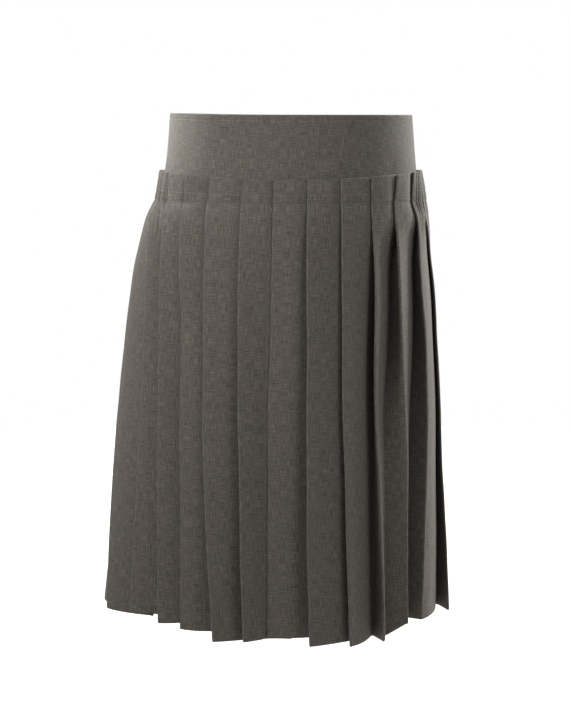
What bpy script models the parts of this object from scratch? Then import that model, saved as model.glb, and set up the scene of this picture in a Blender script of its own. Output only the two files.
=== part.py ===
"""Knife-pleated wool skirt hung from a fitted hip yoke, held open as when worn.

Metres, +Z up. The origin is the centre of the waist opening, in the plane of the waist edge.
The front faces -Y and the wearer's left is +X. All the folds face the wearer's right in front
and go on the same way round the back.

A place on the skirt is an angle round a section, 0 at the centre front and rising towards +X,
a height, and an offset outwards from the section. The pleated cloth is one folded line at each
height: along a face, under the next pleat to its inner fold, and back to the next outer fold.
"""
from collections import namedtuple

import bpy
import numpy as np

MM = 0.001

# Cloth and seams
YOKE_WALL = 2.0 * MM          # two layers of suiting and a stay
PLEAT_WALL = 1.0 * MM
SEAM_GAP = 0.3 * MM
LAYER_STEP = 1.7 * MM         # from the middle of one pressed layer to the next

# Heights
HEADING_TOP = -65.0 * MM      # folded top edge of the pleats, at the centre front and back
HEADING_SIDE_RISE = 6.5 * MM  # it stands higher at the hips
UPPER_ROW = -81.0 * MM        # the two stitch rows that hold the pleats to the yoke
LOWER_ROW = -90.0 * MM
YOKE_END = -100.0 * MM
HEM = -533.0 * MM
WAIST_SIDE_RISE = 2.0 * MM    # the waist edge lifts at the wearer's right hip

# Pleats
UNDERLAY = 25.0 * MM          # pressed depth of a pleat under the next one
FACE_SLOPE = 7.0 * MM         # room for a face to come down from its pleat to the next one
OPEN_SWING = np.radians(25)   # a return turned this far from flat lets the faces hang straight
FAN_POWER = 0.3               # how soon the fanned pleats swing open below the stitching
SHOULDER_LEAST = 0.35         # least way of a face's shoulder from its fold, as a share
ENTRY_ROOM = 0.5 * MM         # a face is all the way down this far before the next fold
SINK_START = -107.0 * MM      # inner folds sink inwards from here down, clear of the yoke,
SINK_RATE = 0.5               # by up to this much for each millimetre down
GATHER_HEIGHT = 1.6 * MM      # small tucks caught by the stitch rows at the hips
GATHER_END = -150.0 * MM
GATHER_FADE = 0.6             # how much of their height they lose at the top of the heading

# Zip at the centre back
TAPE_TOP = -3.0 * MM
ZIP_END = -178.0 * MM
TAPE_WIDTH = 24.0 * MM
TAPE_WALL = 1.0 * MM
TAPE_COLUMNS = 7
TAPE_SET_IN = 6.0 * MM        # how far its lower end lies inside the pleats
SLIDER_TOP = -5.0 * MM
SLIDER_SIZE = (5.0 * MM, 1.2 * MM, 9.0 * MM)    # across, out from the back, and up
LOOP_WIDTH = 1.6 * MM
LOOP_BAR = 1.0 * MM           # thickness of the loop all round, and of the tab's bar
LOOP_REACH = 1.0 * MM         # room in the loop above and below the bar
BAR_ROOM = 0.5 * MM           # room between the bar and the plate
PULL_SIZE = (6.0 * MM, 1.0 * MM, 22.0 * MM)
PULL_GAP = 0.4 * MM
PULL_CHAMFER = 0.6 * MM
PULL_SHOULDER = 1.5 * MM

# Outer half widths and depths of the yoke, in millimetres
Section = namedtuple("Section", "z left right front back")
YOKE = [
    Section(0, 129, 128, 98, 98),
    Section(-27, 131, 130, 100, 100),
    Section(-55, 134, 132.5, 102, 103),
    Section(-81, 139, 135.2, 105, 106),
    Section(-100, 141, 137, 106.5, 108),
]
# The same for the middle of the innermost layer of the pleats, which stands off the yoke at its
# folded top edge and lies on it at the two stitch rows
SKIRT = [
    Section(-65, 137.5, 134.2, 105, 106.5),
    Section(-81, 140.4, 136, 106.4, 107.5),
    Section(-90, 141.8, 136.9, 107.2, 108.6),
    Section(-107, 150, 139, 110, 112),
    Section(-150, 161.5, 140.5, 114, 117),
    Section(-193, 167, 143.5, 117, 120),
    Section(-235, 171, 147, 119.5, 122),
    Section(-278, 175, 151, 121.5, 124),
    Section(-364, 182.5, 154, 125, 127),
    Section(-449, 189, 158, 127, 129),
    Section(-545, 195.7, 163.5, 128.2, 130.4),
]
# Levels of the cloth below the stitching, as a share of the way to the hem
LEVELS = (0.0, 0.038, 0.058, 0.08, 0.105, 0.135, 0.25, 0.37, 0.49, 0.62, 0.75, 0.88, 1.0)

# Folds of the front, in millimetres: how far across the front each lies at the stitching and at
# the hem, how far its edge may stand out at the hem, how far the hem hangs down there, how far it
# opens in the heading, and the small tucks on its face. The last column is how many degrees the
# return layer of a fanned pleat swings in at the hem, or 0 where the spread of the faces sets it.
Fold = namedtuple("Fold", "seam_x hem_x lift drop open tucks swing")
FRONT_FOLDS = [
    Fold(-140.5, -163, 8, -14, 0, 3, 0),
    Fold(-127.4, -133, 10, -8, 0, 0, 0),
    Fold(-109, -115.5, 10, -2, 0, 0, 0),
    Fold(-85.4, -77, 16, 4, 0, 0, 0),
    Fold(-51, -47.5, 15, 3, 0, 0, 0),
    Fold(-19, -25.5, 4, 2, 0, 0, 0),
    Fold(15.4, 16, 20, 7, 0, 0, 0),
    Fold(49.3, 55, 20, 10, 0, 0, 0),
    Fold(80.5, 90, 8, 10, 1, 0, 92),
    Fold(104, 118, 4, -3, 2, 0, 140),
    Fold(123, 134.5, 4, -3, 3, 3, 112),
    Fold(134.5, 159.5, 5, -1, 1, 3, 42),
]
# Folds of the back, spread evenly round it from the left hip to the right, and moved by a shift
BackFold = namedtuple("BackFold", "shift lift drop tucks")
BACK_FOLDS = [
    BackFold(0, 10, 0, 2),
    BackFold(3, 12, 1, 0),
    BackFold(-2, 14, 1, 0),
    BackFold(-4, 11, 1, 0),
    BackFold(2, 16, 3, 0),
    BackFold(4, 12, 4, 0),
    BackFold(0, 13, 4, 0),
    BackFold(-3, 16, 5, 0),
    BackFold(2, 12, 2, 0),
    BackFold(4, 15, 0, 0),
    BackFold(-2, 10, -4, 0),
    BackFold(0, 9, -7, 3),
]

WOOL = ("grey_wool_suiting", (0.075, 0.066, 0.060), 0.9, 0.0)
TAPE = ("zip_tape_polyester", (0.055, 0.050, 0.047), 0.85, 0.0)
METAL = ("zip_metal_dark", (0.12, 0.11, 0.10), 0.4, 0.9)


def section(table, z):
    """Centre across, half width, front depth and back depth of a table's section at height z."""
    heights = [row.z * MM for row in reversed(table)]
    left, right, front, back = (
        np.interp(z, heights, [getattr(row, name) * MM for row in reversed(table)])
        for name in ("left", "right", "front", "back")
    )
    return (right - left) / 2, (right + left) / 2, front, back


def ring_point(table, z, angle, offset):
    """Point at an angle round the section at height z, moved outwards along its normal."""
    centre, width, front, back = section(table, z)
    depth = np.where(np.cos(angle) > 0, front, back)
    normal_x = np.sin(angle) / width
    normal_y = -np.cos(angle) / depth
    length = np.hypot(normal_x, normal_y)
    x = centre + width * np.sin(angle) + offset * normal_x / length
    y = -depth * np.cos(angle) + offset * normal_y / length
    return x, y


def girth_rate(table, z, angle):
    """Metres round the section for each radian at an angle."""
    _, width, front, back = section(table, z)
    depth = np.where(np.cos(angle) > 0, front, back)
    return np.hypot(width * np.cos(angle), depth * np.sin(angle))


def angle_across(table, z, x):
    """Angle of the front point that lies x across the section at height z."""
    centre, width, _, _ = section(table, z)
    return np.arcsin((x - centre) / width)


def even_angles(z, start, end, count):
    """Angles that share the girth between two angles evenly, without the two ends."""
    angles = np.linspace(start, end, 721)
    rates = girth_rate(SKIRT, z, (angles[1:] + angles[:-1]) / 2)
    girth = np.concatenate(([0.0], np.cumsum(rates * np.diff(angles))))
    return np.interp(np.arange(1, count + 1) / (count + 1) * girth[-1], girth, angles)


def fold_table():
    """All folds in order round the skirt, as columns of angles in radians and sizes in metres."""
    folds = {name: [] for name in ("seam", "hem", "lift", "drop", "open", "tucks", "swing")}
    for row in FRONT_FOLDS:
        folds["seam"].append(angle_across(SKIRT, LOWER_ROW, row.seam_x * MM))
        folds["hem"].append(angle_across(SKIRT, HEM, row.hem_x * MM))
        folds["open"].append(row.open * MM)
        folds["swing"].append(np.radians(row.swing))
    full_turn = 2 * np.pi
    for name, z in (("seam", LOWER_ROW), ("hem", HEM)):
        start, end = folds[name][-1], folds[name][0] + full_turn
        angles = even_angles(z, start, end, len(BACK_FOLDS))
        if name == "hem":
            shift = np.array([row.shift for row in BACK_FOLDS]) * MM
            angles = angles + shift / girth_rate(SKIRT, z, angles)
        folds[name].extend(angles)
    for name in ("open", "swing"):
        folds[name].extend([0.0] * len(BACK_FOLDS))
    for row in FRONT_FOLDS + BACK_FOLDS:
        for name in ("lift", "drop"):
            folds[name].append(getattr(row, name) * MM)
        folds["tucks"].append(row.tucks)
    return {name: np.array(values) for name, values in folds.items()}


def wrapped(folds, name, index):
    """A fold's value, counting on past the last fold to the first one, a turn further round."""
    count = len(folds[name])
    turns, index = divmod(index, count)
    extra = 2 * np.pi * turns if name in ("seam", "hem") else 0.0
    return folds[name][index] + extra


class Level:
    """One height of the pleated cloth, above the lower stitch row or on the way to the hem."""

    def __init__(self, share, heading=0.0):
        self.share = share
        self.heading = heading      # 0 at the lower stitch row, 1 at the folded top edge

    def height(self, angle, drop):
        """Height of a point at this level, for the hem's drop near it."""
        if self.heading > 0:
            top = HEADING_TOP + HEADING_SIDE_RISE * np.sin(angle) ** 2
            return LOWER_ROW + (top - LOWER_ROW) * self.heading
        return LOWER_ROW + (HEM - drop - LOWER_ROW) * self.share

    def section_height(self):
        """Height of the section that the level follows all round."""
        if self.heading > 0:
            return LOWER_ROW + (HEADING_TOP - LOWER_ROW) * self.heading
        return LOWER_ROW + (HEM - LOWER_ROW) * self.share

    def tuck(self):
        """Height of the small tucks at this level."""
        if self.heading > 0:
            return GATHER_HEIGHT * (1 - GATHER_FADE * self.heading)
        below = (self.section_height() - GATHER_END) / (LOWER_ROW - GATHER_END)
        return GATHER_HEIGHT * max(0.0, below)


def fold_angle(folds, index, level):
    """Angle of a fold at a level, on its straight way from the stitching to the hem."""
    seam, hem = wrapped(folds, "seam", index), wrapped(folds, "hem", index)
    return seam + (hem - seam) * level.share


def face_width(folds, index, level):
    """Girth between a fold and the next one at a level."""
    angle, following = (fold_angle(folds, i, level) for i in (index, index + 1))
    return (following - angle) * girth_rate(SKIRT, level.section_height(), (angle + following) / 2)


def return_layer(folds, index, level):
    """Cloth depth of a fold's return layer, and how far it has swung in from flat at a level.

    The return turns about the outer fold. Pressed, it lies flat under its face. Below the
    stitching it swings in as far as the spread of the faces before it asks for, or as far as a
    fanned pleat's row says.
    """
    stitching = Level(0.0)
    depth = min(UNDERLAY, face_width(folds, index, stitching) - FACE_SLOPE)
    pressed = np.arcsin(LAYER_STEP / depth)
    fan = wrapped(folds, "swing", index)
    if fan > 0:
        swing = pressed + (fan - pressed) * level.share ** FAN_POWER
        return depth + (UNDERLAY - depth) * level.share, pressed, swing
    hem = Level(1.0)
    spread = face_width(folds, index - 1, hem) - face_width(folds, index - 1, stitching)
    flat = depth * np.cos(pressed)
    hem_run = min(depth - spread, face_width(folds, index, hem) - FACE_SLOPE, flat)
    run = flat + (max(hem_run, 0.0) - flat) * level.share
    return depth, pressed, np.arccos(run / depth)


def fold_state(folds, index, level):
    """Where a fold stands at a level: its angle, drop, outer and inner apex, and how open it is.

    The return's rise is shared between the outer fold standing out and the inner one sinking in,
    always in the same proportion, and it is cut short where the inner fold has no room to sink.
    """
    angle = fold_angle(folds, index, level)
    depth, pressed, swing = return_layer(folds, index, level)
    hem_depth, _, hem_swing = return_layer(folds, index, Level(1.0))
    hem_rise = max(hem_depth * np.sin(hem_swing), LAYER_STEP + MM)
    rise = depth * np.sin(swing) - LAYER_STEP
    stands = min(wrapped(folds, "lift", index) / (hem_rise - LAYER_STEP), 1.0)
    outer = 1.5 * LAYER_STEP + rise * stands + wrapped(folds, "open", index) * level.heading
    room_inside = SINK_RATE * max(SINK_START - level.section_height(), 0.0)
    sink = min(rise * (1 - stands), room_inside)
    inner = LAYER_STEP / 2 - sink
    run = np.sqrt(max(depth ** 2 - (outer - inner) ** 2, 0.0))
    return {
        "angle": angle,
        "rate": girth_rate(SKIRT, level.section_height(), angle),
        "run": run if swing < np.pi / 2 else -run,
        "outer": outer,
        "inner": inner,
        "openness": np.clip((swing - pressed) / OPEN_SWING, 0.0, 1.0),
        "drop": wrapped(folds, "drop", index),
    }


def fold_corners(state):
    """The four corners where the cloth turns, as girth from the fold and offset outwards.

    Both ends of the return layer are widened by half a layer step, square to its direction.
    """
    run, rise = state["run"], state["inner"] - state["outer"]
    length = np.hypot(run, rise)
    across_x, across_y = -rise / length * LAYER_STEP / 2, run / length * LAYER_STEP / 2
    outer = np.array([0.0, state["outer"]])
    inner = np.array([run, state["inner"]])
    across = np.array([across_x, across_y])
    return {
        "face_start": outer + across,
        "return_end": outer - across,
        "return_start": inner + across,
        "foot": inner - across,
    }


def face_line(state, corners, pitch, following, following_corners):
    """Shoulder over the pleat's own underlay and entry under the next fold, as girth and offset.

    Pressed flat, the face lies two layers up over its own pleat and at the bottom under the
    next one. Open, it hangs straight from its fold to the foot. Where it comes down steeply both
    points move away from the corners they pass, so that the face keeps a layer's room from them.
    """
    start = corners["face_start"]
    foot = following_corners["foot"] + np.array([pitch, 0.0])
    covered = following["run"] > 0
    entry = foot
    if covered:
        hanging = start[1] + (foot[1] - start[1]) * (pitch - start[0]) / (foot[0] - start[0])
        lowest = following_corners["return_end"][1] - LAYER_STEP
        entry = np.array([pitch, min(hanging * following["openness"], lowest)])
    shoulder_x = max(state["run"] + LAYER_STEP / 2, SHOULDER_LEAST * foot[0])
    straight = start[1] + (entry[1] - start[1]) * (shoulder_x - start[0]) / (entry[0] - start[0])
    shoulder_y = 2 * LAYER_STEP * (1 - state["openness"]) + straight * state["openness"]
    if state["run"] > 0:
        shoulder_y = max(shoulder_y, corners["return_start"][1] + LAYER_STEP)
    steep = max(np.arctan2(shoulder_y - entry[1], entry[0] - shoulder_x), 0.0)
    clear = LAYER_STEP * np.tan(steep / 2)
    shoulder = np.array([shoulder_x + max(clear - LAYER_STEP / 2, 0.0), shoulder_y])
    if covered:
        return shoulder, entry - np.array([clear + ENTRY_ROOM, 0.0])
    return shoulder, (shoulder + foot) / 2


def face_points(folds, index, level):
    """Points of a pleat from its outer fold to the end of the return at the next outer fold.

    Each row is angle, offset and hem drop. The face may carry small tucks before its shoulder.
    The hem is level along a face and comes to the next pleat's height along the return.
    """
    state, following = (fold_state(folds, i, level) for i in (index, index + 1))
    corners, following_corners = fold_corners(state), fold_corners(following)
    pitch = face_width(folds, index, level)
    shoulder, entry = face_line(state, corners, pitch, following, following_corners)
    start = corners["face_start"]
    points = [(state, *start)]
    tucks = int(wrapped(folds, "tucks", index))
    between = max(2 * tucks, 1)
    for step in range(1, between + 1):
        place = start + (np.array(shoulder) - start) * step / (between + 1)
        raised = (step % 2) * level.tuck() if tucks else 0.0
        points.append((state, place[0], place[1] + raised))
    points.append((state, *shoulder))
    entry = np.array([entry[0] - pitch, entry[1]])
    points.append((following, *entry))
    points.append((following, *(entry + following_corners["foot"]) / 2))
    points.append((following, *following_corners["foot"]))
    back_start, back_end = (following_corners[name] for name in ("return_start", "return_end"))
    points.append((following, *back_start))
    points.append((following, *(back_start + back_end) / 2))
    points.append((following, *back_end))
    drops = [state["drop"]] * (len(points) - 2)
    drops += [(state["drop"] + following["drop"]) / 2, following["drop"]]
    return [(origin["angle"] + girth / origin["rate"], offset, drop)
            for (origin, girth, offset), drop in zip(points, drops)]


def seam_point(folds, index, level, side):
    """Middle of the return layer before a fold, half a seam gap to one side of it."""
    state = fold_state(folds, index, level)
    drop = (state["drop"] + wrapped(folds, "drop", index - 1)) / 2
    corners = fold_corners(state)
    start, end = corners["return_start"], corners["return_end"]
    along = (end - start) / np.hypot(*(end - start))
    middle = (start + end) / 2 + side * (SEAM_GAP / 2) * along
    return state["angle"] + middle[0] / state["rate"], middle[1], drop


def pleat_path(folds, first, last, level):
    """Middle line of a panel at a level, from the seam before one fold to the seam after another."""
    rows = [seam_point(folds, first, level, 1.0)]
    end = fold_corners(fold_state(folds, first, level))["return_end"]
    state = fold_state(folds, first, level)
    rows.append((state["angle"] + end[0] / state["rate"], end[1], state["drop"]))
    for index in range(first, last + 1):
        rows.extend(face_points(folds, index, level))
    rows[-2:] = [seam_point(folds, last + 1, level, -1.0)]
    angle, offset, drop = np.array(rows).T
    z = level.height(angle, drop)
    section_z = np.full(len(z), level.section_height()) if level.heading > 0 else z
    x, y = ring_point(SKIRT, section_z, angle, offset)
    return np.column_stack([x, y, z])


def thickened(path, wall):
    """Both faces of a wall round a middle line, each moved half the wall with mitred corners.

    A mitre is no longer than twice the half wall, so sharp folds keep blunt edges.
    """
    step = np.diff(path[:, :2], axis=0)
    step /= np.hypot(step[:, 0], step[:, 1])[:, None]
    normals = np.column_stack([step[:, 1], -step[:, 0]])
    before = np.vstack([normals[:1], normals])
    after = np.vstack([normals, normals[-1:]])
    mitre = before + after
    mitre /= np.maximum(1 + np.sum(before * after, axis=1), 0.5)[:, None]
    outer, inner = path.copy(), path.copy()
    outer[:, :2] += mitre * wall / 2
    inner[:, :2] -= mitre * wall / 2
    return outer, inner


def wall_mesh(levels):
    """Closed wall between an outer and an inner line at each level, listed from the top down."""
    rows, count = len(levels), len(levels[0][0])
    outer = np.array([pair[0] for pair in levels]).reshape(-1, 3)
    inner = np.array([pair[1] for pair in levels]).reshape(-1, 3)
    vertices = np.vstack([outer, inner])
    shift = rows * count
    faces = []
    for row in range(rows - 1):
        for column in range(count - 1):
            a = row * count + column
            b, c, d = a + 1, a + 1 + count, a + count
            faces.append((a, d, c, b))
            faces.append((a + shift, b + shift, c + shift, d + shift))
    bottom = (rows - 1) * count
    for column in range(count - 1):
        a, b = column, column + 1
        faces.append((a, b, b + shift, a + shift))
        a, b = bottom + column, bottom + column + 1
        faces.append((a, a + shift, b + shift, b))
    for row in range(rows - 1):
        a, d = row * count, (row + 1) * count
        faces.append((a, a + shift, d + shift, d))
        a, d = a + count - 1, d + count - 1
        faces.append((a, d, d + shift, a + shift))
    return vertices, faces


def make_material(spec):
    """Principled material of a plain colour."""
    name, colour, roughness, metallic = spec
    material = bpy.data.materials.get(name)
    if material is None:
        material = bpy.data.materials.new(name)
        material.use_nodes = True
        shader = material.node_tree.nodes["Principled BSDF"]
        shader.inputs["Base Color"].default_value = (*colour, 1.0)
        shader.inputs["Roughness"].default_value = roughness
        shader.inputs["Metallic"].default_value = metallic
    return material


def add_object(name, vertices, faces, spec):
    """Mesh object from points and faces, with its material."""
    mesh = bpy.data.meshes.new(name)
    mesh.from_pydata([tuple(map(float, point)) for point in vertices], [], faces)
    mesh.update()
    mesh.materials.append(make_material(spec))
    made = bpy.data.objects.new(name, mesh)
    bpy.context.scene.collection.objects.link(made)
    return made


def make_pleats():
    """The three pleated panels, each a folded wall from its heading to its hem."""
    folds = fold_table()
    row_share = (UPPER_ROW - LOWER_ROW) / (HEADING_TOP - LOWER_ROW)
    levels = [Level(0.0, 1.0), Level(0.0, row_share)] + [Level(share) for share in LEVELS]
    half_back = len(BACK_FOLDS) // 2
    panels = (
        ("pleats_front", 0, len(FRONT_FOLDS) - 1),
        ("pleats_back_left", len(FRONT_FOLDS), len(FRONT_FOLDS) + half_back - 1),
        ("pleats_back_right", len(FRONT_FOLDS) + half_back, len(FRONT_FOLDS) + 2 * half_back - 1),
    )
    for name, first, last in panels:
        walls = [thickened(pleat_path(folds, first, last, level), PLEAT_WALL) for level in levels]
        add_object(name, *wall_mesh(walls), WOOL)


def yoke_line(z, start, end, steps, inset):
    """Points along the yoke at a height, with its ends pulled back for the seams."""
    angles = np.linspace(start, end, steps + 1)
    angles[0] += SEAM_GAP / 2 / girth_rate(YOKE, z, start)
    angles[-1] -= SEAM_GAP / 2 / girth_rate(YOKE, z, end)
    x, y = ring_point(YOKE, z, angles, -inset)
    rise = WAIST_SIDE_RISE * np.maximum(0.0, -np.sin(angles)) ** 2 if z == 0 else 0.0
    return np.column_stack([x, y, z + rise + 0 * angles])


def make_yoke():
    """Front yoke and the two halves of the back yoke, walls that follow the hip."""
    quarter = np.pi / 2
    pieces = (
        ("yoke_front", -quarter, quarter, 32),
        ("yoke_back_left", quarter, 2 * quarter, 16),
        ("yoke_back_right", 2 * quarter, 3 * quarter, 16),
    )
    for name, start, end, steps in pieces:
        walls = []
        for row in YOKE:
            outer, inner = (yoke_line(row.z * MM, start, end, steps, inset)
                            for inset in (0.0, YOKE_WALL))
            walls.append((outer, inner))
        add_object(name, *wall_mesh(walls), WOOL)


def make_zip_tape():
    """Flat tape behind the centre back, from just under the waist edge to below the yoke."""
    levels = [(YOKE, YOKE_WALL, TAPE_TOP)]
    levels += [(YOKE, YOKE_WALL, row.z * MM) for row in YOKE[1:]]
    levels.append((SKIRT, PLEAT_WALL / 2 + TAPE_SET_IN, ZIP_END))
    across = np.linspace(TAPE_WIDTH / 2, -TAPE_WIDTH / 2, TAPE_COLUMNS)
    walls = []
    for table, inset, z in levels:
        centre, width, _, back = section(table, z)
        bend = back * (1 - np.sqrt(1 - (across / width) ** 2))
        outer = np.column_stack([centre + across, back - inset - SEAM_GAP - bend, z + 0 * across])
        walls.append((outer, outer - np.array([0.0, TAPE_WALL, 0.0])))
    add_object("zip_tape", *wall_mesh(walls), TAPE)


def box_points(low, high):
    """Corners and outward faces of an upright box."""
    corners = [(x, y, z) for x in (low[0], high[0]) for y in (low[1], high[1])
               for z in (low[2], high[2])]
    faces = [(0, 1, 3, 2), (4, 6, 7, 5), (0, 4, 5, 1), (2, 3, 7, 6), (0, 2, 6, 4), (1, 5, 7, 3)]
    return corners, faces


def combine(target, other, operation):
    """Boolean of two objects, applied live, with the second one hidden as a cutter."""
    modifier = target.modifiers.new(operation.lower(), "BOOLEAN")
    modifier.operation = operation
    modifier.object = other
    modifier.solver = "EXACT"
    other.hide_render = True
    other.display_type = "WIRE"


def make_zip_metal():
    """Slider with its loop, and the pull tab whose top bar turns inside the loop."""
    centre, _, _, _ = section(YOKE, SLIDER_TOP)
    _, depth, height = SLIDER_SIZE
    _, _, _, back = section(YOKE, SLIDER_TOP - height)
    plate_out = back + SEAM_GAP + depth
    axis_y = plate_out + BAR_ROOM + LOOP_BAR / 2
    axis_z = SLIDER_TOP - height / 2
    add_slider(centre, plate_out, axis_y, axis_z)
    add_pull(centre, axis_y, axis_z)


def add_slider(centre, plate_out, axis_y, axis_z):
    """Plate and loop in one body. The loop's window is open from side to side."""
    width, depth, height = SLIDER_SIZE
    window_half = LOOP_BAR / 2 + LOOP_REACH
    loop_half = window_half + LOOP_BAR
    window_out = axis_y + LOOP_BAR / 2 + PULL_GAP
    plate = add_object("zip_slider", *box_points(
        (centre - width / 2, plate_out - depth, axis_z - height / 2),
        (centre + width / 2, plate_out, axis_z + height / 2)), METAL)
    loop = add_object("loop_block", *box_points(
        (centre - LOOP_WIDTH / 2, plate_out - depth / 2, axis_z - loop_half),
        (centre + LOOP_WIDTH / 2, window_out + LOOP_BAR, axis_z + loop_half)), METAL)
    window = add_object("loop_window", *box_points(
        (centre - LOOP_WIDTH, plate_out, axis_z - window_half),
        (centre + LOOP_WIDTH, window_out, axis_z + window_half)), METAL)
    combine(plate, loop, "UNION")
    combine(plate, window, "DIFFERENCE")


def add_pull(centre, axis_y, axis_z):
    """Flat tab with a rounded end, a slot for the loop and a bar over the slot.

    Its origin lies on the bar, so that it turns there. The slot is long enough for the loop's
    outer corner to pass through it as the tab turns.
    """
    width, thick, length = PULL_SIZE
    half, bar = width / 2, LOOP_BAR / 2
    loop_corner = np.hypot(bar + LOOP_REACH + LOOP_BAR, bar + PULL_GAP + LOOP_BAR)
    turns = np.radians(np.arange(0, 181, 20))
    outline_x = np.concatenate([[half - PULL_CHAMFER, half], np.cos(turns) * half,
                                [-half, PULL_CHAMFER - half]])
    outline_z = np.concatenate([[bar, -PULL_SHOULDER], half - length - np.sin(turns) * half,
                                [-PULL_SHOULDER, bar]])
    count = len(outline_x)
    sides = [np.column_stack([outline_x, 0 * outline_x + y, outline_z])
             for y in (-thick / 2, thick / 2)]
    faces = [tuple(range(count))[::-1], tuple(range(count, 2 * count))]
    for a in range(count):
        b = (a + 1) % count
        faces.append((a, b, b + count, a + count))
    pull = add_object("zip_pull", np.vstack(sides), faces, METAL)
    slot_half = LOOP_WIDTH / 2 + PULL_GAP
    slot = add_object("pull_slot", *box_points(
        (centre - slot_half, axis_y - thick, axis_z - loop_corner - PULL_GAP),
        (centre + slot_half, axis_y + thick, axis_z - bar)), METAL)
    pull.location = (centre, axis_y, axis_z)
    combine(pull, slot, "DIFFERENCE")


def main():
    for old in list(bpy.data.objects):
        bpy.data.objects.remove(old, do_unlink=True)
    make_yoke()
    make_pleats()
    make_zip_tape()
    make_zip_metal()


main()
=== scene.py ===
"""Looks of the knife-pleated wool skirt: cloth, stitches, zip, light and camera.

The cloth repeats the part's folded line on many more levels, with rounded creases, soft billows
and gathers, and stands in the same place. The part's own cloth solids aren't shown. Metres, +Z up,
the front faces -Y. Angles go round the body from the centre front towards +X.
"""

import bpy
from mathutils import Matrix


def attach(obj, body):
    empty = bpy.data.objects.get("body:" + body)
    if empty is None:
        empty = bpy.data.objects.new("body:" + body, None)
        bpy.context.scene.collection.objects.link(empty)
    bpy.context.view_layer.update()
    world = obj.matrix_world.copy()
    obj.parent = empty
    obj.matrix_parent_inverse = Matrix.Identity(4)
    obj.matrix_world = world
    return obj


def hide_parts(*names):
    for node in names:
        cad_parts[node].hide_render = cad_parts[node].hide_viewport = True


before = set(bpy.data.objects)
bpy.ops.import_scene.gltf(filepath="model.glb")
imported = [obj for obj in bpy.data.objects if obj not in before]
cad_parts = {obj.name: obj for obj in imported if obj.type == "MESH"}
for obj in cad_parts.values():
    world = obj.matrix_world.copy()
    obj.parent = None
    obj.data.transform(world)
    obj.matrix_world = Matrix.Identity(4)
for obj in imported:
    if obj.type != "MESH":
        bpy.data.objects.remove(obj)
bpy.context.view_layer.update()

from collections import namedtuple

import bpy
import numpy as np

MM = 0.001
QUARTER = np.pi / 2

# Sizes shared with the part
YOKE_WALL = 2.0 * MM
SEAM_GAP = 0.3 * MM
HEADING_TOP = -65.0 * MM
HEADING_SIDE_RISE = 6.5 * MM
UPPER_ROW = -81.0 * MM
LOWER_ROW = -90.0 * MM
HEM = -533.0 * MM
WAIST_SIDE_RISE = 2.0 * MM
UNDERLAY = 25.0 * MM
FACE_SLOPE = 7.0 * MM
OPEN_SWING = np.radians(25)
SHOULDER_LEAST = 0.35
ENTRY_ROOM = 0.5 * MM
SINK_START = -107.0 * MM
SINK_RATE = 0.5
GATHER_END = -150.0 * MM
PLEAT_INSIDE = 0.8 * MM  # the part's pleats reach this far inside their line
TAPE_TOP = -3.0 * MM
ZIP_END = -178.0 * MM
TAPE_WIDTH = 24.0 * MM
TAPE_WALL = 1.0 * MM
TAPE_SET_IN = 6.0 * MM

# Finish of the cloth
LAYER_STEP = 1.3 * MM  # from one layer of a pleat to the next, closer than in the part
CLOTH_HALF = 0.35 * MM  # half the cloth's thickness
HEADING_HALF = 0.5 * MM  # the heading is folded double
HEM_HALF = 0.5 * MM  # and so is the hem
HEM_TURN = 33.0 * MM  # height of the turned-up hem
HEM_TURN_SHARE = 1 - HEM_TURN / (LOWER_ROW - HEM)
TOP_EDGE = (0.25, 0.75)  # how the heading thins to its edge on its two highest levels
HEM_EDGE = (0.85, 0.35)  # and the hem on its two lowest
CREASE = 1.6 * MM  # how near its fold a face is pressed tight
WANDER = 0.6 * MM  # how far a fold strays from its straight line
BILLOW = 1.1 * MM  # how far a face stands off its line between its folds
BILLOW_UNEVEN = 0.45  # share of the billow that comes and goes down the pleat
BILLOW_TURNS = 0.9  # how often it does
SHOULDER_BILLOW = 0.4  # share of the billow that is left at a pleat's shoulder
SHOULDER_PUFF = 0.5  # and of the puff
SHOULDER_TUCKED = 0.6  # and of the gathers
SWAY = 1.3 * MM  # slow waves of the whole skirt
RIPPLE = 0.16 * MM  # fine unevenness of the cloth
RIPPLE_START = 0.3  # share of the ripples at the stitching
RIPPLE_GROWTH = 8.0  # how fast they grow below it
RIPPLE_END = 1.3  # place on the face where they have gone
HEADING_PUFF = 0.6 * MM  # the heading stands off above the stitching
PUFF_SKEW = 0.8  # below 1, the puff is fullest under the middle of the heading
GATHER_HEIGHT = 2.4 * MM
GATHER_RIDGES = 1.6  # ridges for each tuck of the part
GATHER_FADE = 0.4  # share of their height that the heading's edge has lost
GATHER_SKEW = 1.4  # above 1, they sink fast below the stitching
FURROW = 0.35 * MM  # depth to which a stitch row pulls the cloth in
FURROW_WIDTH = 1.3 * MM
OPEN_LIFT = 0.25  # an opened top edge stands off by this share of its move
GOLDEN = 0.618034  # steps of this share never line up, so similar pleats differ
UNDERSTITCH_DROP = 6.0 * MM
UNDERSTITCH_DEPTH = 0.3 * MM
UNDERSTITCH_WIDTH = 0.9 * MM
STRAIN = 0.25 * MM  # soft folds of the yoke towards the heading
STRAIN_TOP = 20.0 * MM  # they start this far below the waist
STRAIN_GROWTH = 60.0 * MM  # and are full after this much more
WAIST_RISE_DEPTH = 27.0 * MM  # height over which the waist's rise at the side fades

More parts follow.
